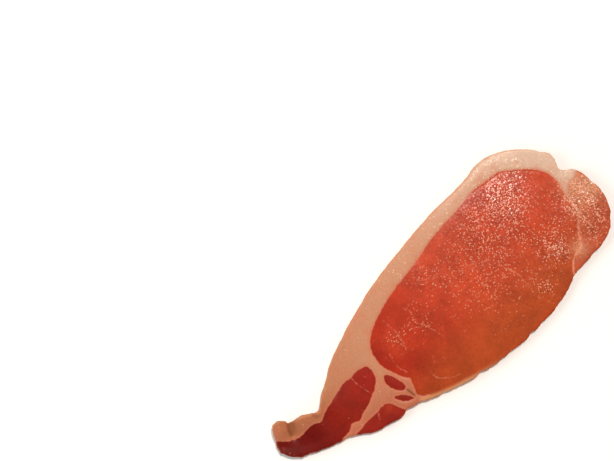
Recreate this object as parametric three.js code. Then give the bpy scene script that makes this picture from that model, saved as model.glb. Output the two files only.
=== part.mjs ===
// One rasher of raw back bacon, lying flat: the round loin at one end, the streaky belly tail at the other
// and a band of fat along one side. Millimetres, +X from the tail to the loin, +Y to the fat, +Z up.
import * as THREE from 'three';

const sliceThickness = 3.6;
const tailThickness = 3.1;
const thinsOverRungs = 9; // the slice reaches its full thickness this many rungs from the tail
const edgeRadius = 1.2; // how far the cut edge is rounded, seen from above
const edgeSquareness = 2.6; // 2 is a round edge, more is squarer
const tailBulge = 0.6; // the cut end of the tail bows out a little
const loinReach = 4; // rungs over which the round shape of the loin's end dies away
const loinCurl = { from: 82, over: 24, height: 1.6 }; // the loin's end lifts off the table
const tailCurl = { from: 88, over: 16, height: 1.2 };
const fatLift = { reach: 0.8, fade: 1.5 }; // share of a rung that a lifted edge takes up with it
const meatLift = { reach: 0.6, fade: 1.5 };
const fatCrown = 0.4; // the fat stands a little above the meat
const meatCrown = 0.2;
const crownFullness = 0.7; // 1 is a sine, less is flatter on top
const grooveDepth = 0.3; // the seam between fat and meat
const grooveWidth = 1.4;
const meatEdgeRag = 0.45;
const fatEdgeRag = 0.15;
const rowSpacing = 2.5;
const leastRowsPerRung = 2;
const fatColumns = 4;
const meatColumns = 12;
const evenOutPasses = 60;
const rimSteps = 2; // strips from the top face to the outermost line of the edge
const slopeStep = 0.05; // in outline points, for the outline's direction

// Slow unevenness of the cut face: the length of a radian along each axis, and the phase.
const faceWaveHeight = 0.1;
const faceWaves = [
  { x: 8.3, y: 9.1, phase: 0 },
  { x: -14.9, y: 5.7, phase: 1 },
  { x: 4.9, y: 90, phase: -2 },
];

// The ragged line that a knife and torn membrane leave: shares of the rag, and the length of a radian.
const ragWaves = [
  { share: 0.45, length: 2.9, phase: 0 },
  { share: 0.35, length: 1.7, phase: 2 },
  { share: 0.3, length: 1.07, phase: 4 },
];

// Rungs of a ladder from the tail to the loin, each from the fat edge to the meat edge: where the two ends
// are, how high each end lifts off the table, and how deep the fat runs in from its edge.
const rungs = [
  { fatEdge: [-99.5, 18.0], meatEdge: [-106.0, 5.5], lift: [2.6, 0.6], fat: 8.0 }, // cut end of the tail
  { fatEdge: [-95.5, 17.5], meatEdge: [-103.5, 1.0], lift: [3.4, 0.3], fat: 9.5 },
  { fatEdge: [-91.8, 13.2], meatEdge: [-100.0, -2.5], lift: [0.3, 0.1], fat: 9.0 }, // valley of the pucker
  { fatEdge: [-86.0, 11.5], meatEdge: [-94.5, -5.5], lift: [3.9, 0.0], fat: 8.0 },
  { fatEdge: [-81.0, 8.6], meatEdge: [-88.5, -8.5], lift: [2.8, 0.0], fat: 6.0 },
  { fatEdge: [-77.8, 7.4], meatEdge: [-81.0, -11.0], lift: [0.5, 0.0], fat: 5.0 }, // pinched corner
  { fatEdge: [-73.0, 10.8], meatEdge: [-72.5, -14.5], lift: [1.7, 0.0], fat: 6.0 },
  { fatEdge: [-66.0, 14.8], meatEdge: [-65.0, -19.5], lift: [0.7, 0.0], fat: 8.0 },
  { fatEdge: [-58.5, 19.4], meatEdge: [-55.5, -22.6], lift: [0.0, 0.0], fat: 11.0 }, // belly muscle
  { fatEdge: [-47.5, 23.8], meatEdge: [-45.5, -23.2], lift: [0.0, 0.0], fat: 14.5 },
  { fatEdge: [-33.0, 28.5], meatEdge: [-35.5, -26.8], lift: [0.0, 0.0], fat: 13.5 }, // start of the loin eye
  { fatEdge: [-13.0, 33.4], meatEdge: [-20.0, -32.8], lift: [0.0, 0.0], fat: 11.0 },
  { fatEdge: [10.0, 36.5], meatEdge: [-1.0, -37.5], lift: [0.0, 0.0], fat: 10.5 },
  { fatEdge: [34.0, 38.7], meatEdge: [20.0, -40.3], lift: [0.0, 0.0], fat: 9.2 },
  { fatEdge: [56.0, 38.8], meatEdge: [39.0, -40.3], lift: [0.0, 0.0], fat: 8.4 },
  { fatEdge: [71.5, 40.4], meatEdge: [52.5, -39.0], lift: [0.0, 0.0], fat: 10.5 }, // fattest at the shoulder
  { fatEdge: [82.0, 37.4], meatEdge: [63.4, -35.6], lift: [0.0, 0.0], fat: 11.4 },
  { fatEdge: [90.3, 31.6], meatEdge: [76.0, -34.3], lift: [0.1, 0.1], fat: 12.5 },
  { fatEdge: [96.2, 25.2], meatEdge: [87.5, -33.8], lift: [0.2, 0.3], fat: 15.0 },
];
const lastRung = rungs.length - 1;

// The outline goes on round the loin's end from the last rung's fat edge to its meat edge.
const loinEnd = [
  [100.6, 16.8],
  [99.2, 7.4], // notch between the fat and the end lobe
  [103.4, 4.1],
  [105.9, -5.5],
  [105.7, -14.2],
  [102.9, -22.4],
  [96.9, -29.3],
];

// Along the fat edge, round the loin and back along the meat edge, so that the slice is on its right.
const outlinePoints = [
  ...rungs.map((rung) => rung.fatEdge),
  ...loinEnd,
  ...rungs.map((rung) => rung.meatEdge).reverse(),
];
const outline = new THREE.CatmullRomCurve3(
  outlinePoints.map(([x, y]) => new THREE.Vector3(x, y, 0)),
  false,
  'centripetal',
);
const lastOutlinePoint = outlinePoints.length - 1;
const loinSpan = loinEnd.length + 1; // from the last rung's fat edge round to its meat edge

const perRung = (pickValues) => {
  const points = rungs.map((rung) => new THREE.Vector3(...pickValues(rung), 0));
  const curve = new THREE.CatmullRomCurve3(points, false, 'catmullrom');
  return (t) => curve.getPoint(t / lastRung);
};
const liftAt = perRung((rung) => rung.lift);
const fatDepthAt = perRung((rung) => [rung.fat, 0]);

function smoothStep(x) {
  const clamped = Math.min(1, Math.max(0, x));
  return clamped * clamped * (3 - 2 * clamped);
}

// Rises from 0 to 1 and falls back to 0 as x goes from 0 to 1.
function dome(x) {
  return Math.max(0, Math.sin(Math.PI * x)) ** crownFullness;
}

// The outline at a place counted in its points, moved in towards the meat.
function outlineAt(place, inset) {
  const pointAt = (index) => outline.getPoint(THREE.MathUtils.clamp(index / lastOutlinePoint, 0, 1));
  const along = pointAt(place + slopeStep).sub(pointAt(place - slopeStep)).normalize();
  return pointAt(place).add(new THREE.Vector3(along.y, -along.x, 0).multiplyScalar(inset));
}

// How much the rung at t takes part in the round shape of the loin's end.
function loinWeight(t) {
  return Math.max(0, 1 - (lastRung - t) / loinReach) ** 2;
}

// A point of the slice seen from above, at a share of the rung at t.
function planPoint(t, share, inset) {
  const onRung = outlineAt(t, inset).lerp(outlineAt(lastOutlinePoint - t, inset), share);
  const loinStart = outlineAt(lastRung, inset);
  const loinStop = outlineAt(lastRung + loinSpan, inset);
  const bow = outlineAt(lastRung + share * loinSpan, inset).sub(loinStart.lerp(loinStop, share));
  const tailWeight = Math.max(0, 1 - t) * (1 - (2 * share - 1) ** 2);
  return onRung.addScaledVector(bow, loinWeight(t)).add(new THREE.Vector3(-tailBulge * tailWeight, 0, 0));
}

// The first row stops short of the tail's cut end by the edge's radius.
function rowPositions() {
  const rows = [];
  for (let rung = 0; rung < lastRung; rung += 1) {
    const run = planPoint(rung, 0.5, 0).distanceTo(planPoint(rung + 1, 0.5, 0));
    const steps = Math.max(leastRowsPerRung, Math.round(run / rowSpacing));
    const first = rung === 0 ? edgeRadius / run : 0;
    for (let k = rung === 0 ? 0 : 1; k <= steps; k += 1) {
      rows.push(rung + first + (1 - first) * (k / steps));
    }
  }
  return rows;
}

// Shares of a rung's length: some columns within the fat, one across the seam, the rest over the meat.
// The seam's column widens to a common one where the rungs bend round the loin's end.
function columnShares(t, rungLength, fatDepth) {
  const fatShare = fatDepth / rungLength;
  const commonShare = (1 - fatShare) / (meatColumns + 1);
  const narrowShare = Math.max(grooveWidth / rungLength, commonShare / 2);
  const seamShare = fatShare + THREE.MathUtils.lerp(narrowShare, commonShare, loinWeight(t));
  const shares = [];
  for (let k = 0; k <= fatColumns; k += 1) {
    shares.push((fatShare * k) / fatColumns);
  }
  for (let k = 0; k <= meatColumns; k += 1) {
    shares.push(THREE.MathUtils.lerp(seamShare, 1, k / meatColumns));
  }
  return shares;
}

// How much of an edge's lift is left at a share of the rung away from that edge.
function liftWeight(share, { reach, fade }) {
  return Math.max(0, 1 - share / reach) ** fade;
}

// Height of the slice's underside above the table. It is zero over the whole middle.
function tableGap(t, share, x) {
  const lift = liftAt(t);
  const fatRuffle = Math.max(0, lift.x) * liftWeight(share, fatLift);
  const meatRuffle = Math.max(0, lift.y) * liftWeight(1 - share, meatLift);
  const loin = loinCurl.height * smoothStep((x - loinCurl.from) / loinCurl.over);
  const tail = tailCurl.height * smoothStep((-x - tailCurl.from) / tailCurl.over);
  return fatRuffle + meatRuffle + loin + tail;
}

// Height of the top face over a level cut: crowned fat, a groove at the seam, gently domed meat.
function topRelief(depth, fatDepth, rungLength, x, y) {
  const seam = (depth - fatDepth) / grooveWidth;
  const groove = grooveDepth * Math.exp(-seam * seam);
  const unevenness = faceWaves.reduce((sum, wave) => sum + Math.sin(x / wave.x + y / wave.y + wave.phase), 0);
  const waves = faceWaveHeight * unevenness;
  if (depth < fatDepth) {
    return fatCrown * dome(depth / fatDepth) - groove + waves / 2;
  }
  const across = (depth - fatDepth) / (rungLength - fatDepth);
  return meatCrown * dome(across) - groove + waves;
}

// How far the ragged line is pushed out at a distance along the edge, as a share of the edge's rag.
function edgeRag(distance) {
  const pushes = ragWaves.map(({ share, length, phase }) => share * Math.sin(distance / length + phase));
  return pushes.reduce((sum, push) => sum + push, 0);
}

// The slice seen from above, as rows of points along the rungs.
function planRows() {
  return rowPositions().map((t) => {
    const rungLength = planPoint(t, 0, edgeRadius).distanceTo(planPoint(t, 1, edgeRadius));
    const fatDepth = fatDepthAt(t).x;
    return columnShares(t, rungLength, fatDepth).map((share) => {
      return { t, share, rungLength, fatDepth, middle: planPoint(t, share, edgeRadius) };
    });
  });
}

// Evens out the points towards the loin's end, where the rungs meet the outline at a slant, so that no cell
// turns over: each point is the mean of its neighbours, weighted by the steps across and along.
function evenOut(rows) {
  const at = (i, j) => rows[i][j].middle;
  const firstRow = rows.findIndex((row) => row[0].t > lastRung - loinReach);
  for (let pass = 0; pass < evenOutPasses; pass += 1) {
    for (let i = firstRow; i < rows.length - 1; i += 1) {
      for (let j = 1; j < rows[i].length - 1; j += 1) {
        const along = at(i + 1, j).clone().sub(at(i - 1, j)).divideScalar(2);
        const across = at(i, j + 1).clone().sub(at(i, j - 1)).divideScalar(2);
        const rising = at(i + 1, j + 1).clone().add(at(i - 1, j - 1));
        const falling = at(i + 1, j - 1).clone().add(at(i - 1, j + 1));
        const mean = at(i + 1, j).clone().add(at(i - 1, j)).multiplyScalar(across.lengthSq());
        mean.addScaledVector(at(i, j + 1).clone().add(at(i, j - 1)), along.lengthSq());
        mean.addScaledVector(rising.sub(falling), -along.dot(across) / 2);
        at(i, j).copy(mean.divideScalar(2 * (across.lengthSq() + along.lengthSq())));
      }
    }
  }
}

// Raises the plan to the middle surface of the slice, and notes the slice's thickness and relief.
function addHeights(rows) {
  rows.flat().forEach((point) => {
    const { t, share, rungLength, fatDepth, middle } = point;
    point.thickness = THREE.MathUtils.lerp(tailThickness, sliceThickness, smoothStep(t / thinsOverRungs));
    point.relief = topRelief(share * rungLength, fatDepth, rungLength, middle.x, middle.y);
    middle.z = point.thickness / 2 + tableGap(t, share, middle.x);
  });
}

// Two triangles for each cell of the grid, split along the shorter diagonal.
function gridTriangles(rows) {
  const columns = rows[0].length;
  const index = (i, j) => i * columns + j;
  const triangles = [];
  for (let i = 0; i < rows.length - 1; i += 1) {
    for (let j = 0; j < columns - 1; j += 1) {
      const [a, b, c, d] = [index(i, j), index(i, j + 1), index(i + 1, j + 1), index(i + 1, j)];
      const rise = rows[i][j].middle.distanceTo(rows[i + 1][j + 1].middle);
      const fall = rows[i][j + 1].middle.distanceTo(rows[i + 1][j].middle);
      if (rise <= fall) {
        triangles.push([a, b, c], [a, c, d]);
      } else {
        triangles.push([a, b, d], [b, c, d]);
      }
    }
  }
  return triangles;
}

function geometryOf(points, triangles) {
  const geometry = new THREE.BufferGeometry();
  const positions = points.flatMap((point) => point.toArray());
  geometry.setAttribute('position', new THREE.Float32BufferAttribute(positions, 3));
  geometry.setIndex(triangles.flat());
  return geometry;
}

function addNormals(rows, triangles) {
  const surface = geometryOf(rows.flat().map((point) => point.middle), triangles);
  surface.computeVertexNormals();
  rows.flat().forEach((point, index) => {
    point.normal = new THREE.Vector3().fromBufferAttribute(surface.attributes.normal, index);
  });
}

// From a boundary point out to the outline, in the plane of the slice there.
function reachToOutline({ t, share, middle, normal }, onTailRow, distance) {
  const reach = planPoint(onTailRow ? 0 : t, share, 0).setZ(middle.z).sub(middle);
  const rag = share === 0 ? fatEdgeRag : meatEdgeRag;
  reach.setLength(reach.length() + rag * edgeRag(distance));
  reach.z = -(normal.x * reach.x + normal.y * reach.y) / normal.z;
  return reach;
}

// The points round the slice in order, anticlockwise from above, starting at the tail's fat corner.
function boundaryOf(rows) {
  const lastRow = rows.length - 1;
  const lastColumn = rows[0].length - 1;
  const tailSide = rows[0].map((_, j) => [0, j]);
  const meatSide = rows.map((_, i) => [i, lastColumn]);
  const loinSide = rows[lastRow].map((_, j) => [lastRow, lastColumn - j]);
  const fatSide = rows.map((_, i) => [lastRow - i, 0]);
  return [tailSide, meatSide, loinSide, fatSide].flatMap((side) => side.slice(0, -1));
}

// The boundary points, each with its reach out to the ragged outline.
function edgeOf(rows, boundary) {
  let distance = 0;
  return boundary.map(([i, j], k) => {
    const here = rows[i][j];
    const [afterI, afterJ] = boundary[(k + 1) % boundary.length];
    distance += rows[afterI][afterJ].middle.distanceTo(here.middle);
    return { ...here, reach: reachToOutline(here, i === 0, distance) };
  });
}

// The rounded edge at one angle of its section, from a quarter turn at the top to minus a quarter below.
function edgeLine(edge, angle) {
  const outShare = Math.abs(Math.cos(angle)) ** (2 / edgeSquareness);
  const upShare = Math.sign(angle) * Math.abs(Math.sin(angle)) ** (2 / edgeSquareness);
  return edge.map(({ middle, normal, thickness, relief, reach }) => {
    const height = upShare > 0 ? thickness / 2 + relief : thickness / 2;
    return middle.clone().addScaledVector(reach, outShare).addScaledVector(normal, height * upShare);
  });
}

// Strips of triangles between rings of points that follow each other downwards.
function ringTriangles(rings) {
  const triangles = [];
  for (let ring = 0; ring < rings.length - 1; ring += 1) {
    const [upper, lower] = [rings[ring], rings[ring + 1]];
    upper.forEach((a, k) => {
      const next = (k + 1) % upper.length;
      triangles.push([a, lower[k], lower[next]], [a, lower[next], upper[next]]);
    });
  }
  return triangles;
}

function buildRasher() {
  const rows = planRows();
  evenOut(rows);
  addHeights(rows);
  const face = gridTriangles(rows);
  addNormals(rows, face);

  const offset = (heightOf) => rows.flat().map((point) => {
    return point.middle.clone().addScaledVector(point.normal, heightOf(point));
  });
  const top = offset(({ thickness, relief }) => thickness / 2 + relief);
  const underside = offset(({ thickness }) => -thickness / 2);
  const points = [...top, ...underside];

  const boundary = boundaryOf(rows);
  const edge = edgeOf(rows, boundary);
  const topRing = boundary.map(([i, j]) => i * rows[0].length + j);
  const rings = [topRing];
  for (let step = 1; step < 2 * rimSteps; step += 1) {
    const angle = (Math.PI / 2) * (1 - step / rimSteps);
    rings.push(edge.map((_, k) => points.length + k));
    points.push(...edgeLine(edge, angle));
  }
  rings.push(topRing.map((index) => index + top.length));

  const undersideFace = face.map(([a, b, c]) => [c, b, a].map((index) => index + top.length));
  const geometry = geometryOf(points, [...face, ...undersideFace, ...ringTriangles(rings)]);
  geometry.computeBoundingBox();
  const centre = geometry.boundingBox.getCenter(new THREE.Vector3());
  geometry.translate(-centre.x, -centre.y, -geometry.boundingBox.min.z);
  geometry.computeVertexNormals();
  return geometry;
}

const rawBacon = new THREE.MeshStandardMaterial({ color: 0xc15a3e, roughness: 0.38, metalness: 0 });
const rasher = new THREE.Mesh(buildRasher(), rawBacon);
rasher.name = 'rasher';

const bacon = new THREE.Group();
bacon.name = 'back_bacon_rasher';
bacon.add(rasher);

export default bacon;
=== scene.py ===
import math

import bpy
import numpy as np
from mathutils import Matrix, Vector


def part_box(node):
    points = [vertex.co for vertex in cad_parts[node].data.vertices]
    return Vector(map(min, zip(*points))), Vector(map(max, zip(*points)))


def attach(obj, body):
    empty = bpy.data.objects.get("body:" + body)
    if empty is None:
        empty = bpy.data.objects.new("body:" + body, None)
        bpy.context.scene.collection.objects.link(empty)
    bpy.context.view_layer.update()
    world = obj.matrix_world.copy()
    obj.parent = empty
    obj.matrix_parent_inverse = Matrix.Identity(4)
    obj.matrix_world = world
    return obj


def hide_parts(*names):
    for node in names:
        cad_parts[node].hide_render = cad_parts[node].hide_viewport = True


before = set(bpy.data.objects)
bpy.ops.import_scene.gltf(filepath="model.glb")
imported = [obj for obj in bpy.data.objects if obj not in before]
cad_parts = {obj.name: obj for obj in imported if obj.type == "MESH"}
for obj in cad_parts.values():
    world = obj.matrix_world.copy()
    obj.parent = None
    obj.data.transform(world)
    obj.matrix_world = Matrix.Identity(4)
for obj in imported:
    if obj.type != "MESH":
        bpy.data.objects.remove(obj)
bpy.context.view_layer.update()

# A rasher of raw back bacon on a pale table. It is drawn in millimetres and turned to metres at the end.
metresPerMm = 0.001


def linearColour(hexColour):  # "#c8553a" in sRGB to linear red, green, blue, alpha
    channels = [int(hexColour[k:k + 2], 16) / 255 for k in (1, 3, 5)]
    linear = [c / 12.92 if c <= 0.04045 else ((c + 0.055) / 1.055) ** 2.4 for c in channels]
    return (*linear, 1.0)


def addNode(tree, kind, settings=None, inputs=None):  # a value given as a socket is linked
    node = tree.nodes.new("ShaderNode" + kind)
    for name, value in (settings or {}).items():
        setattr(node, name, value)
    for name, value in (inputs or {}).items():
        if isinstance(value, bpy.types.NodeSocket):
            tree.links.new(value, node.inputs[name])
        else:
            node.inputs[name].default_value = value
    return node


# Camera: looks down on the table at a slant, with the rasher's tail at the lower left
shot = {
    "elevation": 80,  # degrees above the table
    "turn": 44,  # degrees from the picture's right to the rasher's length
    "aim": (-18.6, 77.25),  # the point of the table at the middle of the picture
    "distance": 443.4,
    "lens": 50,
}


def placeCamera():
    elevation, turn = math.radians(shot["elevation"]), math.radians(shot["turn"])
    right = Vector((math.cos(turn), -math.sin(turn), 0))
    flat = Vector((math.sin(turn), math.cos(turn), 0))
    forward = flat * math.cos(elevation) - Vector((0, 0, math.sin(elevation)))
    axes = Matrix((right, right.cross(forward), -forward)).transposed().to_4x4()
    place = Vector((*shot["aim"], 0)) - forward * shot["distance"]
    camera = bpy.data.objects.new("camera", bpy.data.cameras.new("camera"))
    camera.data.lens = shot["lens"]
    camera.matrix_world = Matrix.Translation(place * metresPerMm) @ axes
    bpy.context.scene.collection.objects.link(camera)
    bpy.context.scene.camera = camera


placeCamera()
print("camera placed")

# The slice. Each rung crosses it from the fat edge to the meat edge, from the tail to the loin.
rungs = np.array([  # fat edge x and y, meat edge x and y, lift of the fat edge and of the meat edge
    (-99.5, 18.0, -106.0, 5.5, 2.6, 0.6),  # cut end of the tail
    (-95.5, 17.5, -103.5, 1.0, 3.4, 0.3),
    (-91.8, 13.2, -100.0, -2.5, 0.3, 0.1),  # valley of the pucker
    (-86.0, 11.5, -94.5, -5.5, 3.9, 0.0),
    (-81.0, 8.6, -88.5, -8.5, 2.8, 0.0),
    (-77.8, 7.4, -81.0, -11.0, 0.5, 0.0),  # pinched corner
    (-73.0, 10.8, -72.5, -14.5, 1.7, 0.0),
    (-66.0, 14.8, -65.0, -19.5, 0.7, 0.0),
    (-58.5, 19.4, -55.5, -22.6, 0.0, 0.0),  # belly muscle
    (-47.5, 23.8, -45.5, -23.2, 0.0, 0.0),
    (-33.0, 28.5, -35.5, -26.8, 0.0, 0.0),  # start of the loin eye
    (-13.0, 33.4, -20.0, -32.8, 0.0, 0.0),
    (10.0, 36.5, -1.0, -37.5, 0.0, 0.0),
    (34.0, 38.7, 20.0, -40.3, 0.0, 0.0),
    (56.0, 38.8, 39.0, -40.3, 0.0, 0.0),
    (71.5, 40.4, 52.5, -39.0, 0.0, 0.0),  # shoulder
    (82.0, 37.4, 63.4, -35.6, 0.0, 0.0),
    (90.3, 31.6, 76.0, -34.3, 0.1, 0.1),
    (96.2, 25.2, 87.5, -33.8, 0.2, 0.3),
])
loinEnd = np.array([  # the outline goes on round the loin's end
    (100.6, 16.8), (99.2, 7.4), (103.4, 4.1), (105.9, -5.5), (105.7, -14.2), (102.9, -22.4), (96.9, -29.3),
])
outlinePoints = np.vstack([rungs[:, 0:2], loinEnd, rungs[::-1, 2:4]])
lastRung = len(rungs) - 1
lastPlace = len(outlinePoints) - 1
loinSpan = len(loinEnd) + 1

cut = {  # lengths in millimetres
    "thickness": 3.6,
    "tailThickness": 3.1,
    "thinsOverRungs": 9,
    "edgeRadius": 1.2,
    "edgeSquareness": 2.6,  # 2 is a round edge, more is squarer
    "rimSteps": 4,
    "tailBulge": 0.6,
    "loinReach": 4,  # rungs that bow out with the loin's end
    "slopeStep": 0.05,  # of the way from one outline point to the next
    "rowSpacing": 0.62,
    "tailRowSpacing": 0.4,
    "tailRungs": 6,  # rungs whose rows lie closer together
    "fewestRows": 4,  # between two rungs
    "columns": 112,
    "evenOutPasses": 500,
    "loinCurl": {"start": 82, "over": 24, "height": 1.6},
    "tailCurl": {"start": 88, "over": 16, "height": 1.2},
    "fatLift": {"reach": 0.8, "fade": 1.5},
    "meatLift": {"reach": 0.6, "fade": 1.5},
    "rag": {  # how far the edge strays, mm, and its waves by pace, height and start
        "fat": 0.15,
        "meat": 0.45,
        "turnsOver": 0.05,
        "waves": [(2.9, 0.45, 0), (1.7, 0.35, 2), (1.07, 0.3, 4)],
        "noise": [(1.6, 0.5), (0.8, 0.3)],
    },
    "sideDullness": 0.75,  # how much less the slice's side glitters
}
relief = {  # the cut face: its heights and how far they reach, in millimetres
    "fatCrown": 0.25,
    "fatCrownOver": 2.4,
    "meatCrown": 0.2,
    "meatCrownOver": 6.0,
    "groove": 0.05,
    "grooveWidth": 0.9,
    "borderBlend": 1.2,  # from the fat's height to the lean's
    "muscleBlend": 6.0,  # from one muscle's colour to the next one's
    "outlineSteps": 8,  # between two points of the outline
    "veinGroove": 0.03,
    "leanNoise": [(23.0, 0.14), (7.0, 0.03), (2.4, 0.015)],  # size, height
    "fatNoise": [(16.0, 0.10), (5.0, 0.04), (2.0, 0.01)],
    "undersideNoise": [(6.0, 0.05), (2.0, 0.03)],
}
seeds = {  # of the noises
    "fat": 11,
    "lean": 23,
    "edge": 41,
    "underside": 57,
    "veinWander": (71, 83),
    "veinBreaks": 97,
}
tucks = [  # narrow folds in the tail's puckered fat, and a split beside the small belly muscles; shade is how dark the painted shade in each is
    {"line": [(-92.6, 15.2), (-93.5, 12.9), (-95.0, 10.6), (-95.9, 8.2)],
     "depth": 1.1, "width": 0.8, "shade": 0.5},
    {"line": [(-91.2, 13.2), (-92.4, 10.8), (-93.9, 8.4)], "depth": 0.5, "width": 2.0, "shade": 0.3},
    {"line": [(-80.4, 9.6), (-81.2, 7.8), (-81.0, 5.6)], "depth": 0.5, "width": 0.7, "shade": 0.35},
    {"line": [(-38.9, -16.1), (-38.5, -18.2), (-38.2, -20.6)], "depth": 0.3, "width": 0.5, "shade": 0.95},
]
bumps = [  # small lumps of fat from the pinched corner to the tail's end
    {"at": (-78.6, 6.8), "radius": 2.0, "height": 0.9},
    {"at": (-87.6, 9.0), "radius": 3.6, "height": 0.6},
    {"at": (-98.4, 13.0), "radius": 3.4, "height": 0.8},
]
nicks = [  # small tears in the meat edge and the mouth of the tail's fold; a negative depth is a bulge
    {"at": (26.5, -40.3), "depth": 0.8, "radius": 1.1},
    {"at": (-4.9, -37.0), "depth": 0.6, "radius": 1.0},
    {"at": (-50.0, -23.2), "depth": -1.1, "radius": 2.8},
    {"at": (63.4, -35.7), "depth": 0.7, "radius": 1.4},
    {"at": (-36.9, -26.2), "depth": 0.5, "radius": 1.2},
    {"at": (-92.6, 14.6), "depth": 0.9, "radius": 1.0},
]

# Where the knife met muscle. Sides that lie beyond the slice's edge are drawn outside it.
muscles = {
    "eye": [
        (-32.5, -25.8), (-35.6, -23.4), (-36.7, -20.7), (-35.2, -17.0), (-33.9, -13.0), (-35.5, -10.8),
        (-38.4, -3.8), (-39.6, 0.0), (-39.4, 5.6), (-37.8, 10.7), (-34.1, 14.7), (-27.9, 18.2),
        (-18.4, 21.4), (-5.1, 24.2), (9.4, 25.9), (22.5, 28.7), (32.1, 29.7), (46.1, 30.7), (57.7, 31.7),
        (66.1, 30.5), (74.6, 29.3), (79.7, 25.7), (86.3, 20.2), (90.9, 14.4), (92.6, 9.3), (92.4, 3.7),
        (90.9, -1.6), (90.4, -6.0), (91.0, -12.4), (86.4, -18.0), (81.8, -22.8), (77.6, -27.2),
        (70.2, -30.2), (66.0, -33.0), (65.0, -38.0), (64.0, -48.0), (40.0, -52.0), (0.0, -48.0),
        (-24.0, -38.0), (-31.0, -30.0),
    ],
    "lobe": [
        (89.6, -6.2), (92.4, -3.2), (96.3, -0.6), (100.2, 0.0), (103.6, 1.2), (112.0, 3.0), (116.0, -20.0),
        (104.0, -40.0), (84.0, -44.0), (63.5, -44.0), (62.8, -35.0), (64.6, -31.2), (69.0, -28.2),
        (76.2, -24.8), (80.4, -20.4), (84.8, -16.0), (89.0, -11.6),
    ],
    "bellyUpper": [
        (-45.3, 5.7), (-45.8, -0.4), (-50.0, -4.3), (-53.6, -6.0), (-58.2, -8.0), (-62.6, -8.8),
        (-66.3, -10.4), (-70.3, -8.9), (-73.5, -10.4), (-79.5, -11.2), (-84.0, -14.0), (-96.0, -12.0),
        (-108.0, -2.0), (-112.0, 8.0), (-108.0, 13.5), (-103.6, 11.4), (-97.5, 6.0), (-93.4, 4.6),
        (-89.1, 4.4), (-84.8, 4.4), (-80.7, 2.5), (-74.8, 4.9), (-70.1, 5.8), (-63.7, 7.4), (-58.5, 8.2),
        (-55.0, 7.4), (-52.3, 8.0),
    ],
    "bellyLower": [
        (-72.3, -14.3), (-68.2, -14.0), (-64.9, -13.3), (-61.4, -13.4), (-57.4, -13.6), (-53.7, -13.2),
        (-50.3, -14.5), (-48.6, -17.6), (-47.7, -20.2), (-46.0, -24.0), (-50.0, -30.0), (-66.0, -28.0),
        (-75.0, -18.0),
    ],
    "islandUpper": [
        (-42.2, -3.3), (-40.0, -5.5), (-38.3, -11.4), (-38.2, -14.6), (-40.7, -14.8), (-43.5, -11.1),
        (-44.3, -6.5),
    ],
    "islandLower": [(-46.1, -14.3), (-42.2, -16.3), (-39.2, -21.5), (-43.9, -19.1)],
}
bellyMuscles = ("bellyUpper", "bellyLower", "islandUpper", "islandLower")
veins = [  # thin lines of fat between and within the muscles
    {"line": [(90.0, -5.1), (90.0, -12.0), (85.6, -17.2), (81.0, -21.8), (77.0, -26.2), (69.5, -29.2),
              (65.0, -32.4), (63.9, -36.0)], "width": 0.85, "strength": 0.9},
    {"line": [(79.5, -22.5), (77.6, -25.8), (74.2, -28.4)], "width": 1.6, "strength": 0.6},
    {"line": [(97.8, -13.7), (92.7, -19.8), (84.2, -26.2), (83.4, -31.2)], "width": 0.7, "strength": 0.4},
    {"line": [(101.1, -4.9), (103.2, -7.0), (105.5, -9.1)], "width": 0.6, "strength": 0.4},
    {"line": [(-54.6, 9.4), (-54.4, 3.8), (-53.8, 0.3), (-53.5, -2.8), (-52.6, -5.0)],
     "width": 0.6, "strength": 0.5},
    {"line": [(-63.8, -1.6), (-63.0, -4.3), (-62.6, -6.9), (-61.3, -8.5)], "width": 0.6, "strength": 0.35},
    {"line": [(-56.4, -13.0), (-57.7, -15.3), (-59.0, -17.2)], "width": 0.6, "strength": 0.6},
    {"line": [(-23.0, 16.6), (-22.9, 12.4), (-22.9, 8.1), (-23.5, 2.5), (-25.3, -2.1)], "width": 0.6,
     "strength": 0.55},
    {"line": [(-10.3, 12.8), (-10.6, 7.5), (-11.3, 3.9), (-9.8, 1.1), (-9.1, -2.4), (-7.6, -6.6),
              (-6.9, -11.5)], "width": 0.75, "strength": 0.55},
    {"line": [(-12.4, 9.2), (-16.4, 6.0), (-14.2, 2.5), (-9.5, 0.1)], "width": 0.55, "strength": 0.5},
    {"line": [(-32.8, 2.4), (-34.2, -3.2), (-33.8, -6.3), (-33.4, -9.5)], "width": 0.6, "strength": 0.5},
    {"line": [(-18.0, -13.3), (-20.5, -16.4), (-23.8, -18.0), (-23.6, -23.0), (-19.6, -26.8)], "width": 0.65,
     "strength": 0.6},
    {"line": [(-19.6, -26.8), (-15.7, -28.6), (-11.0, -31.0)], "width": 0.6, "strength": 0.5},
    {"line": [(2.4, 23.3), (3.9, 19.0), (8.3, 16.1), (13.4, 14.0)], "width": 0.6, "strength": 0.45},
    {"line": [(39.4, -3.1), (42.3, -10.1), (42.9, -17.7), (42.2, -22.6), (42.1, -29.5)], "width": 0.65,
     "strength": 0.6},
    {"line": [(48.0, -8.0), (54.7, -10.1), (60.2, -12.5)], "width": 0.55, "strength": 0.5},
]
veinWander = [(5.0, 0.7), (1.8, 0.25)]  # size and reach of the veins' wriggles, mm
veinBreaks = [(6.0, 0.4), (2.0, 0.3)]  # size and strength of the breaks in them
veinPresence = 0.95  # how much of a vein shows between its breaks
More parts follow.
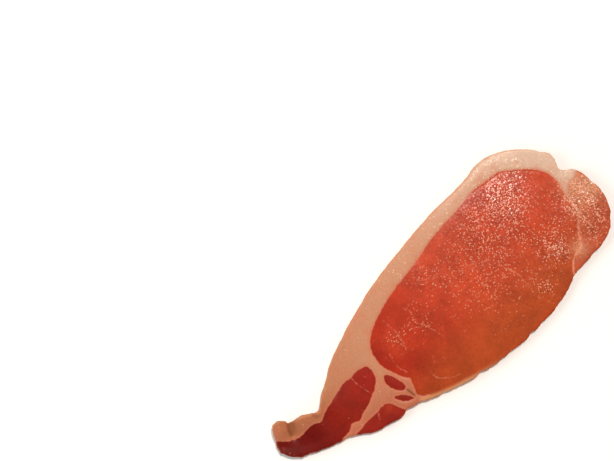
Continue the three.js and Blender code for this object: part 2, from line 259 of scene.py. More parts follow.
glints = [  # where glints are painted on the cut face and how densely, and how wet its coat is there, which also whitens them
    {"at": (68, 18), "radius": 12, "amount": 0.9, "wetAndPaintedShine": 0.8},
    {"at": (69, 24), "radius": 5, "amount": 0.5, "wetAndPaintedShine": 0.8},
    {"at": (81, 23), "radius": 6, "amount": 0.6, "wetAndPaintedShine": 0.8},
    {"at": (58, 22), "radius": 17, "amount": 0.55, "wetAndPaintedShine": 0.1},
    {"at": (50, 12), "radius": 26, "amount": 0.6, "wetAndPaintedShine": 0.25},
    {"at": (27, 5), "radius": 22, "amount": 0.5, "wetAndPaintedShine": 0.15},
    {"at": (30, -18), "radius": 22, "amount": 0.3, "wetAndPaintedShine": 0.05},
    {"at": (67, -20), "radius": 10, "amount": 0.9, "wetAndPaintedShine": 0.9},
    {"at": (48, -30), "radius": 6, "amount": 0.7, "wetAndPaintedShine": 0.4},
    {"at": (98, -8), "radius": 16, "amount": 0.93, "wetAndPaintedShine": 0.75},
    {"at": (78, -15), "radius": 15, "amount": 0.3, "wetAndPaintedShine": 0.1},
    {"at": (90, -26), "radius": 12, "amount": 0.7, "wetAndPaintedShine": 0.2},
    {"at": (76, 36), "radius": 9, "amount": 0.7, "wetAndPaintedShine": 0.15},
    {"at": (90, 26), "radius": 8, "amount": 0.5, "wetAndPaintedShine": 0.15},
    {"at": (6, 18), "radius": 9, "amount": 0.5, "wetAndPaintedShine": 0.3},
    {"at": (-10, 4), "radius": 10, "amount": 0.45, "wetAndPaintedShine": 0.2},
    {"at": (-26, 6), "radius": 9, "amount": 0.45, "wetAndPaintedShine": 0.3},
]
tints = {  # soft patches where the lean is paler, redder, brighter or darker than round them
    "pale": [
        {"at": (96, -2), "radius": 7, "amount": 0.5},
        {"at": (75.5, -27.5), "radius": 4.5, "amount": 0.55},
        {"at": (104, -9), "radius": 6, "amount": 0.5},
        {"at": (88, -12), "radius": 4, "amount": 0.3},
    ],
    "red": [
        {"at": (60, 30), "radius": 16, "amount": 0.35},
        {"at": (-50, 2), "radius": 8, "amount": 0.4},
    ],
    "bright": [
        {"at": (-27, 5), "radius": 7, "amount": 0.55},
        {"at": (79, 3), "radius": 6, "amount": 0.5},
        {"at": (28, 2), "radius": 14, "amount": 0.3},
        {"at": (-52, -16), "radius": 3, "amount": 0.35},
    ],
    "deep": [
        {"at": (-38, 7), "radius": 5, "amount": 0.6},
        {"at": (-28, -10), "radius": 6, "amount": 0.35},
        {"at": (4, -6), "radius": 11, "amount": 0.2},
        {"at": (-62, -19), "radius": 11, "amount": 0.55},
        {"at": (-41, -9), "radius": 5, "amount": 0.75},
    ],
}
membrane = {  # skin along the eye's meat edge, from the belly to where it fades
    "line": [(-37.1, -24.6), (-27.1, -29.4), (-10.3, -34.9), (5.0, -38.4), (20.0, -40.5)],
    "width": 1.0,
    "endsAt": 14,
    "fadesOver": 30,
}


def curveAt(points, place, evenly=False):  # a smooth curve through points, at places counted in points
    points = np.asarray(points, float)
    place = np.clip(np.asarray(place, float), 0, len(points) - 1)
    k = np.minimum(place.astype(int), len(points) - 2)
    w = (place - k)[..., None]
    padded = np.vstack([2 * points[0] - points[1], points, 2 * points[-1] - points[-2]])
    p0, p1, p2, p3 = (padded[k + step] for step in range(4))
    if evenly:
        m1, m2 = (p2 - p0) / 2, (p3 - p1) / 2
    else:  # by the root of each distance, so that close points make no loop
        steps = (p1 - p0, p2 - p1, p3 - p2)
        d0, d1, d2 = (np.linalg.norm(step, axis=-1, keepdims=True) ** 0.5 for step in steps)
        m1 = ((p1 - p0) / d0 - (p2 - p0) / (d0 + d1) + (p2 - p1) / d1) * d1
        m2 = ((p2 - p1) / d1 - (p3 - p1) / (d1 + d2) + (p3 - p2) / d2) * d1
    return p1 + m1 * w + (3 * (p2 - p1) - 2 * m1 - m2) * w**2 + (2 * (p1 - p2) + m1 + m2) * w**3


def drawnLine(points, closed=False, steps=6):
    points = list(points)
    if closed:
        points = points[-2:] + points + points[:2]
    first, last = (2, len(points) - 2) if closed else (0, len(points) - 1)
    return curveAt(points, np.linspace(first, last, (last - first) * steps + 1))


def distanceTo(line, places):
    nearest = np.full(len(places), np.inf)
    for start, step in zip(line[:-1], np.diff(line, axis=0)):
        share = np.clip((places - start) @ step / (step @ step), 0, 1)
        nearest = np.minimum(nearest, np.linalg.norm(places - start - share[:, None] * step, axis=1))
    return nearest


def isInside(loop, places):
    x, y = places.T
    inside = np.zeros(len(places), bool)
    for (x0, y0), (x1, y1) in zip(loop[:-1], loop[1:]):
        if y0 != y1:
            inside ^= ((y0 > y) != (y1 > y)) & (x < x0 + (y - y0) * (x1 - x0) / (y1 - y0))
    return inside


def depthInside(loop, places):  # positive inside the loop, negative outside
    return np.where(isInside(loop, places), 1, -1) * distanceTo(loop, places)


def smoothStep(x):
    x = np.clip(x, 0, 1)
    return x * x * (3 - 2 * x)


def softNoise(x, y, seed):  # random heights from -1 to 1, smooth over one unit
    cells = 256
    lattice = np.random.default_rng(seed).uniform(-1, 1, (cells, cells))
    column, row = np.floor(x).astype(int), np.floor(y).astype(int)
    u, v = smoothStep(x - column), smoothStep(y - row)
    right, above = (column + 1) % cells, (row + 1) % cells
    column, row = column % cells, row % cells
    near = lattice[column, row] * (1 - u) + lattice[right, row] * u
    far = lattice[column, above] * (1 - u) + lattice[right, above] * u
    return near * (1 - v) + far * v


def layeredNoise(x, y, layers, seed):
    total = 0
    for turn, (size, height) in enumerate(layers):  # each layer is turned, so that their grids don't line up
        a = x * math.cos(turn) - y * math.sin(turn)
        b = x * math.sin(turn) + y * math.cos(turn)
        total += height * softNoise(a / size, b / size, seed + turn)
    return total


def outlineAt(place, inset):
    place = np.asarray(place, float)
    step = cut["slopeStep"]
    ahead = curveAt(outlinePoints, place + step) - curveAt(outlinePoints, place - step)
    ahead /= np.linalg.norm(ahead, axis=-1, keepdims=True)
    inward = np.stack([ahead[..., 1], -ahead[..., 0]], axis=-1)
    return curveAt(outlinePoints, place) + inset * inward


def planPoint(rung, share, inset):  # a point of the slice seen from above, at a share of a rung
    rung, share = np.broadcast_arrays(np.asarray(rung, float), np.asarray(share, float))
    side = share[..., None]
    onRung = outlineAt(rung, inset) * (1 - side) + outlineAt(lastPlace - rung, inset) * side
    ends = outlineAt(lastRung, inset) * (1 - side) + outlineAt(lastRung + loinSpan, inset) * side
    bow = outlineAt(lastRung + share * loinSpan, inset) - ends
    bowWeight = np.clip(1 - (lastRung - rung) / cut["loinReach"], 0, None)[..., None] ** 2
    bulge = cut["tailBulge"] * np.clip(1 - rung, 0, None) * (1 - (2 * share - 1) ** 2)
    return onRung + bow * bowWeight - np.stack([bulge, 0 * bulge], axis=-1)


def rowPlaces():
    middles = planPoint(np.arange(lastRung + 1), 0.5, 0)
    runs = np.linalg.norm(np.diff(middles, axis=0), axis=1)
    places = []
    for rung, run in enumerate(runs):
        spacing = cut["tailRowSpacing"] if rung < cut["tailRungs"] else cut["rowSpacing"]
        steps = max(cut["fewestRows"], round(run / spacing))
        first = cut["edgeRadius"] / run if rung == 0 else 0
        places += [rung + first + (1 - first) * k / steps for k in range(0 if rung == 0 else 1, steps + 1)]
    return np.array(places)


def evenOut(plan, firstRow):  # spreads the points towards the loin's end so that no cell turns over
    for _ in range(cut["evenOutPasses"]):
        near = plan[firstRow - 1:]
        along = (near[2:, 1:-1] - near[:-2, 1:-1]) / 2
        across = (near[1:-1, 2:] - near[1:-1, :-2]) / 2
        twist = near[2:, 2:] + near[:-2, :-2] - near[2:, :-2] - near[:-2, 2:]
        pairs = ((across, across), (along, along), (along, across))
        a, b, c = ((u * v).sum(-1, keepdims=True) for u, v in pairs)
        mean = (near[2:, 1:-1] + near[:-2, 1:-1]) * a + (near[1:-1, 2:] + near[1:-1, :-2]) * b - twist * c / 2
        plan[firstRow:-1, 1:-1] = mean / (2 * (a + b))


def tableGap(rung, share, x):  # height of the underside above the table
    lift = np.clip(curveAt(rungs[:, 4:6], rung, evenly=True), 0, None)
    atFat, atMeat = cut["fatLift"], cut["meatLift"]
    fat = lift[..., 0] * np.clip(1 - share / atFat["reach"], 0, None) ** atFat["fade"]
    meat = lift[..., 1] * np.clip(1 - (1 - share) / atMeat["reach"], 0, None) ** atMeat["fade"]
    loin, tail = cut["loinCurl"], cut["tailCurl"]
    loinGap = loin["height"] * smoothStep((x - loin["start"]) / loin["over"])
    tailGap = tail["height"] * smoothStep((-x - tail["start"]) / tail["over"])
    return fat + meat + loinGap + tailGap


def nearSpot(spot, places):  # 1 at a spot, fading over its radius
    return np.exp(-(np.linalg.norm(places - spot["at"], axis=1) / spot["radius"]) ** 2)


def nearLine(mark, places):  # 1 on a drawn line, fading over its width
    return np.exp(-(distanceTo(drawnLine(mark["line"]), places) / mark["width"]) ** 2)


def spread(spots, strength, places):  # soft round spots that add up to 1 at most
    left = 1
    for spot in spots:
        left = left * (1 - spot[strength] * nearSpot(spot, places))
    return 1 - left


def tissueAt(places):  # what lies at each place of the plan
    x, y = places.T
    depths = {name: depthInside(drawnLine(loop, closed=True), places) for name, loop in muscles.items()}
    belly = np.max([depths[name] for name in bellyMuscles], axis=0)
    loin = np.maximum(depths["eye"], depths["lobe"])
    membraneLeft = smoothStep((membrane["endsAt"] - x) / membrane["fadesOver"])
    tissue = {
        "leanDepth": np.maximum(loin, belly),
        "belly": smoothStep((belly - loin) / relief["muscleBlend"] + 0.5),
        "lobe": smoothStep((depths["lobe"] - depths["eye"]) / relief["muscleBlend"] + 0.5),
        "membrane": nearLine(membrane, places) * membraneLeft,
        # how densely glints are painted
        "paintedGlitter": spread(glints, "amount", places),
        # how wet the coat is, which also whitens the painted glints
        "wetAndPaintedShine": spread(glints, "wetAndPaintedShine", places),
        "shadedTuck": np.max([shadedTuck["shade"] * nearLine(shadedTuck, places) for shadedTuck in tucks], axis=0),
    }
    for name, spots in tints.items():
        tissue[name] = spread(spots, "amount", places)
    wander = np.stack([layeredNoise(x, y, veinWander, seed) for seed in seeds["veinWander"]], axis=-1)
    presence = np.clip(veinPresence + layeredNoise(x, y, veinBreaks, seeds["veinBreaks"]), 0, 1)
    drawnVeins = [vein["strength"] * nearLine(vein, places + wander) * presence for vein in veins]
    tissue["vein"] = np.max(drawnVeins, axis=0)
    return tissue


def topRelief(places, tissue):
    x, y = places.T
    lean = tissue["leanDepth"]
    inFat = smoothStep(0.5 - lean / relief["borderBlend"])
    outline = outlineAt(np.linspace(0, lastPlace, lastPlace * relief["outlineSteps"] + 1), 0)
    fatDepth = np.minimum(np.clip(-lean, 0, None), distanceTo(outline, places))
    fat = relief["fatCrown"] * (1 - np.exp(-fatDepth / relief["fatCrownOver"]))
    fat = fat + layeredNoise(x, y, relief["fatNoise"], seeds["fat"])
    meat = relief["meatCrown"] * (1 - np.exp(-np.clip(lean, 0, None) / relief["meatCrownOver"]))
    meat = meat + layeredNoise(x, y, relief["leanNoise"], seeds["lean"])
    groove = relief["groove"] * np.exp(-(lean / relief["grooveWidth"]) ** 2)
    groove = groove + relief["veinGroove"] * tissue["vein"]
    return fat * inFat + meat * (1 - inFat) - groove


def tailFolds(places):  # tucks and lumps of the puckered fat
    height = np.zeros(len(places))
    for shadedTuck in tucks:
        height -= shadedTuck["depth"] * nearLine(shadedTuck, places)
    for bump in bumps:
        height += bump["height"] * nearSpot(bump, places)
    return height


def boundaryOf(rows, columns):  # round the slice anticlockwise from above, starting at the tail's fat corner
    tailSide = [(0, j) for j in range(columns - 1)]
    meatSide = [(i, columns - 1) for i in range(rows - 1)]
    loinSide = [(rows - 1, j) for j in range(columns - 1, 0, -1)]
    fatSide = [(i, 0) for i in range(rows - 1, 0, -1)]
    return np.array(tailSide + meatSide + loinSide + fatSide)


def edgeReach(rung, share, normal, plan):  # from the boundary out to the ragged outline
    rag = cut["rag"]
    onTail = np.arange(len(rung)) < cut["columns"]
    reach = planPoint(np.where(onTail, 0, rung), share, 0) - plan
    along = np.cumsum(np.linalg.norm(np.roll(plan, -1, axis=0) - plan, axis=1))
    waves = sum(height * np.sin(along / pace + start) for pace, height, start in rag["waves"])
    waves += layeredNoise(*plan.T, rag["noise"], seeds["edge"])
    strays = rag["fat"] + (rag["meat"] - rag["fat"]) * smoothStep(share / rag["turnsOver"])
    width = np.linalg.norm(reach, axis=1)
    length = width + strays * waves
    for nick in nicks:
        length -= nick["depth"] * nearSpot(nick, plan + reach)
    reach *= (length / width)[:, None]
    fall = -(normal[:, 0] * reach[:, 0] + normal[:, 1] * reach[:, 1]) / normal[:, 2]
    return np.column_stack([reach, fall])


def sliceSurface():  # the slice's points, the faces between them and each point's place on the rim
    rung = rowPlaces()
    rung, share = np.meshgrid(rung, np.linspace(0, 1, cut["columns"] + 1), indexing="ij")
    plan = planPoint(rung, share, cut["edgeRadius"])
    evenOut(plan, int(np.argmax(rung[:, 0] > lastRung - cut["loinReach"])))
    print("plan drawn:", plan.shape)

    thicker = cut["thickness"] - cut["tailThickness"]
    thickness = cut["tailThickness"] + thicker * smoothStep(rung / cut["thinsOverRungs"])
    height = thickness / 2 + tableGap(rung, share, plan[..., 0])
    middle = np.concatenate([plan, height[..., None]], axis=-1)
    normal = np.cross(np.gradient(middle, axis=1), np.gradient(middle, axis=0))
    normal /= np.linalg.norm(normal, axis=-1, keepdims=True)
    # The sides run into each other at these corners
    normal[-1, 0], normal[-1, -1] = normal[-2, 1], normal[-2, -2]

    places = plan.reshape(-1, 2)
    top = (topRelief(places, tissueAt(places)) + tailFolds(places)).reshape(rung.shape)
    hollow = np.abs(layeredNoise(*places.T, relief["undersideNoise"], seeds["underside"]))
    hollow = hollow.reshape(rung.shape)
    upper = middle + normal * (thickness / 2 + top)[..., None]
    lower = middle - normal * (thickness / 2 - hollow)[..., None]

    rows, columns = rung.shape
    boundary = boundaryOf(rows, columns)
    i, j = boundary.T
    reach = edgeReach(rung[i, j], share[i, j], normal[i, j], plan[i, j])
    count = rows * columns
    topRing = i * columns + j
    points, rings, rims = [upper.reshape(-1, 3), lower.reshape(-1, 3)], [topRing], [np.zeros(2 * count)]
    for step in range(1, 2 * cut["rimSteps"]):
        angle = math.pi / 2 * (1 - step / cut["rimSteps"])
        outShare = abs(math.cos(angle)) ** (2 / cut["edgeSquareness"])
        upShare = math.copysign(abs(math.sin(angle)) ** (2 / cut["edgeSquareness"]), angle)
        rise = thickness[i, j] / 2 + (top[i, j] if upShare > 0 else -hollow[i, j])
        points.append(middle[i, j] + reach * outShare + normal[i, j] * (rise * upShare)[:, None])
        rings.append(2 * count + (step - 1) * len(boundary) + np.arange(len(boundary)))
        rims.append(np.full(len(boundary), outShare))
    rings.append(topRing + count)

    a = (np.arange(rows - 1)[:, None] * columns + np.arange(columns - 1)).ravel()
    face = np.column_stack([a, a + 1, a + columns + 1, a + columns])
    faces = [face, face[:, ::-1] + count]
    for above, below in zip(rings[:-1], rings[1:]):
        faces.append(np.column_stack([above, below, np.roll(below, -1), np.roll(above, -1)]))
    return np.vstack(points), np.vstack(faces), np.concatenate(rims)


def buildRasher():
    points, faces, rim = sliceSurface()
    values = tissueAt(points[:, :2]) | {"rim": rim}
    for name in ("paintedGlitter", "wetAndPaintedShine"):  # the painted glints and the wet coat stay on the knife's faces, and the slice's side is smoother
        values[name] = values[name] * (1 - cut["sideDullness"] * rim)
    low, high = points.min(axis=0), points.max(axis=0)
    cadLow, cadHigh = (np.array(corner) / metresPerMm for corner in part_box("rasher"))
    shift = (cadLow + cadHigh) / 2 - (low + high) / 2
    shift[2] = cadLow[2] - low[2]
    mesh = bpy.data.meshes.new("rasherSlice")
    mesh.from_pydata(((points + shift) * metresPerMm).tolist(), [], faces.tolist())
    mesh.polygons.foreach_set("use_smooth", np.ones(len(faces), bool))
    for name, value in values.items():
        mesh.attributes.new(name, "FLOAT", "POINT").data.foreach_set("value", value.astype(np.float32))
    mesh.update()
    rasher = bpy.data.objects.new("rasherSlice", mesh)
    bpy.context.scene.collection.objects.link(rasher)
    print("slice built:", len(points), "points,", len(faces), "faces, size in mm", (high - low).round(2))
    return rasher


# Raw cured pork, cut across by a knife. Bundles of muscle fibre end at the cut in tiny wet facets that each
# face their own way, so the lean glitters where the lamp meets it; more glints are painted on it as pale
# dots.
# The fat is creamy and dull, with a few painted glints.
pork = {
    "colours": {
        "lean": "#aa2b12",  # the eye's, which the other muscles' are laid over
        "leanOrange": "#be4121",
        "leanBrown": "#a64519",
        "leanPatch": "#a92511",
        "leanRim": "#96391b",
        "lobe": "#c26844",
        "lobeLow": "#b64e2e",
        "belly": "#8c1e10",
        "bellyDark": "#6a0e07",
        "vein": "#dc8c6e",
        "pale": "#cf9672",
        "red": "#ae2218",
        "bright": "#c2431e",
        "deep": "#8e1c10",
        # painted glints on the lean, and their whiter tone where the coat is wet
        "paintedGlint": "#cd7556",
        "paintedGlintWet": "#f8bba0",
        "fatPink": "#cd7458",
        "fatSeam": "#b05e44",
        "fatRim": "#b57a54",
        # painted glints on the fat
        "paintedFatGlint": "#f0d2b4",
        "membrane": "#cb8a60",
        # painted shade in the tail's folds and in the split
        "shadedTuck": "#7a3f22",
    },
    "fatStops": {  # cream at the loin, tan and darker at the tail: partly its own tone, partly painted shade; by the place along the slice in mm
        -100: "#ad6b48",
        -78: "#b16d4a",
        -60: "#bc7d5b",
        -35: "#c58a69",
        15: "#cd9475",
        60: "#d3a58a",
        96: "#d8b59e",
    },
    "fatSpan": 100.0,  # how far the stops may lie from the middle of the slice
    "noises": {  # size in mm and detail
        "wander": (1.8, 3.0),
        "mottle": (8.0, 2.0),
        "clusters": (4.5, 3.0),
        "patches": (14.0, 1.0),
        "grain": (0.9, 1.0),  # bundles are 0.3 mm across, but any finer than two pixels wouldn't show
        "ripple": (1.6, 2.0),
    },
    "cells": {  # size in mm
        "facet": 1.0,  # ends of fibre bundles, drawn as coarse as the grain for the same reason
        "paintedGlint": 0.78,  # painted glints, pale dots that stand in for fibre ends that shine, drawn as coarse as they need to show
        "paintedFatGlint": 0.95,  # painted glints on the fat
    },
    "edgeWander": 1.3,  # how far the border of the lean wanders, mm
    "clustering": 0.25,  # how much the pits keep together
    "pitGain": -0.22,  # below 0, there are more pits where the painted glitter is dense; their darkening is partly the grain's own tone, partly painted shade
    "paintedGlintShare": 0.8,  # how many painted glints there are where the painted glitter is densest
    "paintedGlintClumps": 0.4,  # how much they keep together
    "paintedGlintFloor": 0.035,  # how many painted glints there are where there is no painted glitter
    "paintedFatGlintShare": 0.3,
    "paintedFatGlintFloor": 0.04,
    "bands": {  # what is measured, where it starts and ends, and what it gives at each end
        "lean": ("edge", 0.35, 0.95, 0.0, 1.0),
        "along": ("x", -34, 22, 0.0, 1.0),
        "low": ("y", 2, -32, 0.0, 0.8),
        "tailward": ("x", -64, -92, 0.0, 1.0),
        "lobeLow": ("y", -6, -26, 0.0, 1.0),
        "vein": ("brokenVein", 0.1, 0.5, 0.0, 0.9),
        "pink": ("leanDepth", -1.8, 0.0, 0.0, 0.6),  # the fat is pinker where it meets the lean
        "seam": ("y", 8, -24, 0.0, 0.8),
        "blush": ("mottle", 0.45, 0.72, 0.0, 0.35),
        "rim": ("rim", 0.25, 0.95, 0.0, 0.6),
        "patch": ("patches", 0.45, 0.7, 0.0, 0.7),
        "film": ("patches", 0.2, 0.4, 0.2, 1.0),
        "facetDot": ("facetDistance", 0.55, 0.33, 0.0, 1.0),  # how much of a facet's cell is wet
        "paintedFatGlintDot": ("paintedFatGlintDistance", 0.45, 0.25, 0.0, 1.0),
        "paintedFatGlint": ("paintedFatGlint", 0.0, 0.08, 0.0, 0.8),
        "paintedGlintDot": ("paintedGlintDistance", 0.6, 0.38, 0.0, 1.0),
        "paintedGlint": ("paintedGlint", 0.0, 0.17, 0.0, 1.0),
        "pit": ("pit", 0.3, 0.2, 1.0, 0.7),
        "facetShade": ("facetRandom", 0.0, 1.0, 0.94, 1.06),  # how one facet's colour differs from the next
        "mottleShade": ("mottle", 0.3, 0.7, 0.88, 1.12),
        "fatShade": ("grain", 0.3, 0.7, 0.95, 1.05),
    },
    "layers": [  # in this order: what is laid over, how much, and with what; None only shades it
        ("lean", "patch", "leanPatch"),
        ("lean", "along", "leanOrange"),
        ("lean", "low", "leanBrown"),
        ("lobe", "lobeLow", "lobeLow"),
        # the belly darker towards the tail: partly its own tone, partly painted shade
        ("belly", "tailward", "bellyDark"),
        ("lean", "lobe", "lobe"),
        ("lean", "belly", "belly"),
        ("lean", "pale", "pale"),
        ("lean", "red", "red"),
        ("lean", "bright", "bright"),
        ("lean", "deep", "deep"),
        ("lean", "vein", "vein"),
        ("lean", "rim", "leanRim"),
        ("lean", "facetShade", None),
        ("lean", "mottleShade", None),
        # darkened pits: partly the grain's own darker tone, partly painted shade
        ("lean", "pit", None),
        # painted glints, whiter where the coat is wet, laid over the lean
        ("paintedGlint", "wetAndPaintedShine", "paintedGlintWet"),
        ("lean", "paintedGlint", "paintedGlint"),
        ("fat", "seam", "fatSeam"),
        ("fat", "blush", "fatPink"),
        ("fat", "pink", "fatPink"),
        ("fat", "rim", "fatRim"),
        ("fat", "fatShade", None),
        # painted glints on the fat
        ("fat", "paintedFatGlint", "paintedFatGlint"),
        ("fat", "lean", "lean"),
        ("fat", "membrane", "membrane"),
        # painted shade in the folds and the split
        ("fat", "shadedTuck", "shadedTuck"),
    ],
    "facetTilt": 0.16,  # most that a facet leans, as a slope
    "rippleHeight": 0.05,  # mm
    "wetDots": 0.8,  # coat on the facets
    "wetFilm": 0.1,  # coat between them
    "shader": {
        "Roughness": 0.6,
        "IOR": 1.4,
        "Specular IOR Level": 0.12,
        "Subsurface Weight": 0.2,
        "Subsurface Radius": (1.0, 0.35, 0.2),
        "Subsurface Scale": 1.5 * metresPerMm,
        "Coat Roughness": 0.24,
    },
}
mixA, mixB, mixColour = 6, 7, 2  # the sockets of a colour mix
vectorA, vectorB, mixVector = 4, 5, 1  # and of a vector mix


def makeKnifeCutPork():
    material = bpy.data.materials.new("rawCuredPorkKnifeCut")
    material.use_nodes = True
    tree = material.node_tree
    tree.nodes.clear()
    place = addNode(tree, "TexCoord").outputs["Object"]
    inMm = addNode(tree, "VectorMath", {"operation": "SCALE"}, {0: place, "Scale": 1 / metresPerMm})
    inMm = inMm.outputs[0]
    axes = addNode(tree, "SeparateXYZ", None, {0: inMm}).outputs

    # What is known of each point: its place, what buildRasher stored, noises and cells
    measures = {"x": axes["X"], "y": axes["Y"]}
    for name in ("leanDepth", "belly", "lobe", "vein", "membrane", "paintedGlitter", "wetAndPaintedShine", "shadedTuck", "rim", *tints):
        measures[name] = addNode(tree, "Attribute", {"attribute_name": name}).outputs["Fac"]
    for name, (size, detail) in pork["noises"].items():
        noise = addNode(tree, "TexNoise", None, {"Vector": inMm, "Scale": 1 / size, "Detail": detail})
        measures[name] = noise.outputs["Fac"]
    for name, size in pork["cells"].items():
        cells = addNode(tree, "TexVoronoi", None, {"Vector": inMm, "Scale": 1 / size}).outputs
        random = addNode(tree, "SeparateColor", None, {0: cells["Color"]}).outputs
        measures |= {name + "Colour": cells["Color"], name + "Distance": cells["Distance"]}
        measures[name + "Random"] = random[2]
    for name, operation, *terms in [  # measures made of others
        ("edge", "MULTIPLY_ADD", "wander", pork["edgeWander"], "leanDepth"),
        ("brokenVein", "MULTIPLY", "vein", "wander"),
        ("uneven", "SUBTRACT", "clusters", 0.5),
        ("pitClusters", "MULTIPLY_ADD", "uneven", pork["clustering"], "grain"),
        ("pit", "MULTIPLY_ADD", "paintedGlitter", pork["pitGain"], "pitClusters"),
        ("glitter", "MULTIPLY", "paintedGlitter", "paintedGlitter"),
        ("paintedGlintClumps", "MULTIPLY_ADD", "uneven", pork["paintedGlintClumps"], pork["paintedGlintFloor"]),
        ("paintedGlintChance", "MULTIPLY_ADD", "glitter", pork["paintedGlintShare"], "paintedGlintClumps"),
        ("paintedGlint", "SUBTRACT", "paintedGlintChance", "paintedGlintRandom"),
        ("paintedFatGlintChance", "MULTIPLY_ADD", "paintedGlitter", pork["paintedFatGlintShare"], pork["paintedFatGlintFloor"]),
        ("paintedFatGlint", "SUBTRACT", "paintedFatGlintChance", "paintedFatGlintRandom"),
    ]:
        inputs = {k: measures[term] if isinstance(term, str) else term for k, term in enumerate(terms)}
        measures[name] = addNode(tree, "Math", {"operation": operation}, inputs).outputs[0]

    shares = dict(measures)  # a band takes the place of the measure of its name
    for name, (source, low, high, atLow, atHigh) in pork["bands"].items():
        shares[name] = addNode(tree, "MapRange", {"interpolation_type": "SMOOTHSTEP"}, {
            "Value": measures[source], "From Min": low, "From Max": high, "To Min": atLow, "To Max": atHigh,
        }).outputs[0]
    for name in ("paintedGlint", "paintedFatGlint"):
        dot = {0: shares[name], 1: shares[name + "Dot"]}
        shares[name] = addNode(tree, "Math", {"operation": "MULTIPLY"}, dot).outputs[0]

    span = pork["fatSpan"]
    position = addNode(tree, "MapRange", None, {"Value": axes["X"], "From Min": -span, "From Max": span})
    ramp = addNode(tree, "ValToRGB", None, {0: position.outputs[0]})
    stops = ramp.color_ramp.elements
    for k, (x, hexColour) in enumerate(pork["fatStops"].items()):
        stop = stops[k] if k < 2 else stops.new(1.0)
        stop.position = (x + span) / (2 * span)
        stop.color = linearColour(hexColour)

    tones = {name: linearColour(hexColour) for name, hexColour in pork["colours"].items()}
    tones["fat"] = ramp.outputs[0]
    for under, share, over in pork["layers"]:
        if over is None:
            shade = {0: tones[under], "Scale": shares[share]}
            tones[under] = addNode(tree, "VectorMath", {"operation": "SCALE"}, shade).outputs[0]
        else:
            mix = {0: shares[share], mixA: tones[under], mixB: tones[over]}
            tones[under] = addNode(tree, "Mix", {"data_type": "RGBA"}, mix).outputs[mixColour]

    # Wet facets: each one's normal leans its own way
    outward = addNode(tree, "NewGeometry").outputs["Normal"]
    tilted = measures["facetColour"]
    for operation, inputs in (
        ("SUBTRACT", {1: (0.5, 0.5, 0.5)}),  # the middle of a cell's random colour
        ("SCALE", {"Scale": 2 * pork["facetTilt"]}),
        ("ADD", {1: outward}),
        ("NORMALIZE", {}),
    ):
        tilted = addNode(tree, "VectorMath", {"operation": operation}, {0: tilted, **inputs}).outputs[0]
    dots = shares["wetAndPaintedShine"]
    for name in ("film", "facetDot"):
        dots = addNode(tree, "Math", {"operation": "MULTIPLY"}, {0: dots, 1: shares[name]}).outputs[0]
    facing = addNode(tree, "Mix", {"data_type": "VECTOR"}, {0: dots, vectorA: outward, vectorB: tilted})
    film = {"Value": dots, "To Min": pork["wetFilm"], "To Max": pork["wetDots"]}
    ripple = {"Distance": pork["rippleHeight"] * metresPerMm, "Height": measures["ripple"]}
    shader = addNode(tree, "BsdfPrincipled", None, {
        **pork["shader"],
        "Base Color": tones["fat"],
        "Normal": addNode(tree, "Bump", None, ripple).outputs["Normal"],
        "Coat Weight": addNode(tree, "MapRange", None, film).outputs[0],
        "Coat Normal": facing.outputs[mixVector],
    })
    addNode(tree, "OutputMaterial", None, {"Surface": shader.outputs[0]})
    return material


rasherSlice = buildRasher()
rasherSlice.data.materials.append(makeKnifeCutPork())
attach(rasherSlice, "root")
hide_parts("rasher")
print("rasher dressed")

# Studio: a pale table, one small bright lamp high above the loin's fat side and soft light from all round
studio = {
    "tableSize": 12000,
    "table": "#ffffff",
    "tableRoughness": 0.8,
    "tableSpecular": 0.1,
    "sky": "#fffbf6",
    "skyLow": 1.0,
    "skyHigh": 0.12,
    "skyTurns": (0.15, 0.85),  # from one to the other, 0 level and 1 overhead
    "key": {
        "from": (256, 132, 700),
        "spread": 8.0,  # degrees
        "strength": 2.1,
        "colour": "#fff6e9",
    },
    "fills": [
        {"name": "leftFill", "at": (-700, 500, 500), "size": 500, "power": 3.0, "colour": "#f6faff"},
        {"name": "rightFill", "at": (500, 900, 500), "size": 500, "power": 1.6, "colour": "#f6faff"},
    ],
}


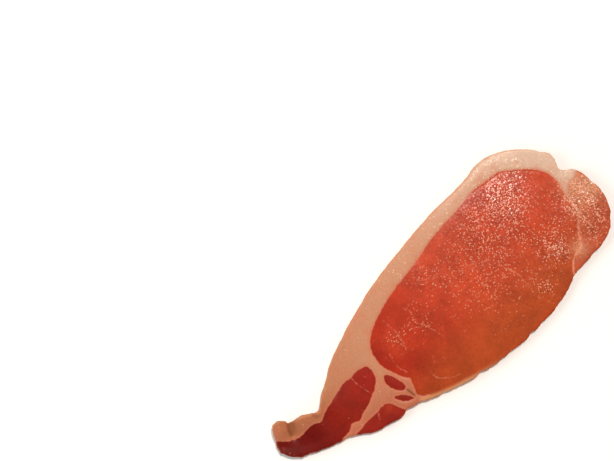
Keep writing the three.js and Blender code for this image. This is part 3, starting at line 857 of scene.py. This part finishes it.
def makeTable():
    half = studio["tableSize"] / 2 * metresPerMm
    mesh = bpy.data.meshes.new("table")
    corners = [(-half, -half, 0), (half, -half, 0), (half, half, 0), (-half, half, 0)]
    mesh.from_pydata(corners, [], [(0, 1, 2, 3)])
    table = bpy.data.objects.new("table", mesh)
    bpy.context.scene.collection.objects.link(table)
    material = bpy.data.materials.new("matPaintedBoard")
    material.use_nodes = True
    shader = material.node_tree.nodes["Principled BSDF"]
    shader.inputs["Base Color"].default_value = linearColour(studio["table"])
    shader.inputs["Roughness"].default_value = studio["tableRoughness"]
    shader.inputs["Specular IOR Level"].default_value = studio["tableSpecular"]
    mesh.materials.append(material)


def makeLamp(name, kind, place, strength, colour):  # aimed at the slice
    light = bpy.data.lights.new(name, kind)
    light.energy = strength
    light.color = linearColour(colour)[:3]
    lamp = bpy.data.objects.new(name, light)
    lamp.location = Vector(place) * metresPerMm
    lamp.rotation_euler = (-Vector(place)).to_track_quat("-Z", "Y").to_euler()
    bpy.context.scene.collection.objects.link(lamp)
    return light


def makeSky():
    world = bpy.data.worlds.new("softStudio")
    world.use_nodes = True
    tree = world.node_tree
    tree.nodes.clear()
    direction = addNode(tree, "TexCoord").outputs["Generated"]
    up = addNode(tree, "SeparateXYZ", None, {0: direction}).outputs["Z"]
    start, end = studio["skyTurns"]
    turn = {"Value": up, "From Min": start, "From Max": end}
    turn |= {"To Min": studio["skyLow"], "To Max": studio["skyHigh"]}
    strength = addNode(tree, "MapRange", {"interpolation_type": "SMOOTHSTEP"}, turn).outputs[0]
    sky = {"Color": linearColour(studio["sky"]), "Strength": strength}
    background = addNode(tree, "Background", None, sky)
    addNode(tree, "OutputWorld", None, {"Surface": background.outputs[0]})
    bpy.context.scene.world = world


makeTable()
key = studio["key"]
makeLamp("keyLamp", "SUN", key["from"], key["strength"], key["colour"]).angle = math.radians(key["spread"])
for fill in studio["fills"]:
    soft = makeLamp(fill["name"], "AREA", fill["at"], fill["power"], fill["colour"])
    soft.shape = "DISK"
    soft.size = fill["size"] * metresPerMm
makeSky()
bpy.context.scene.view_settings.view_transform = "Standard"
print("studio lit")
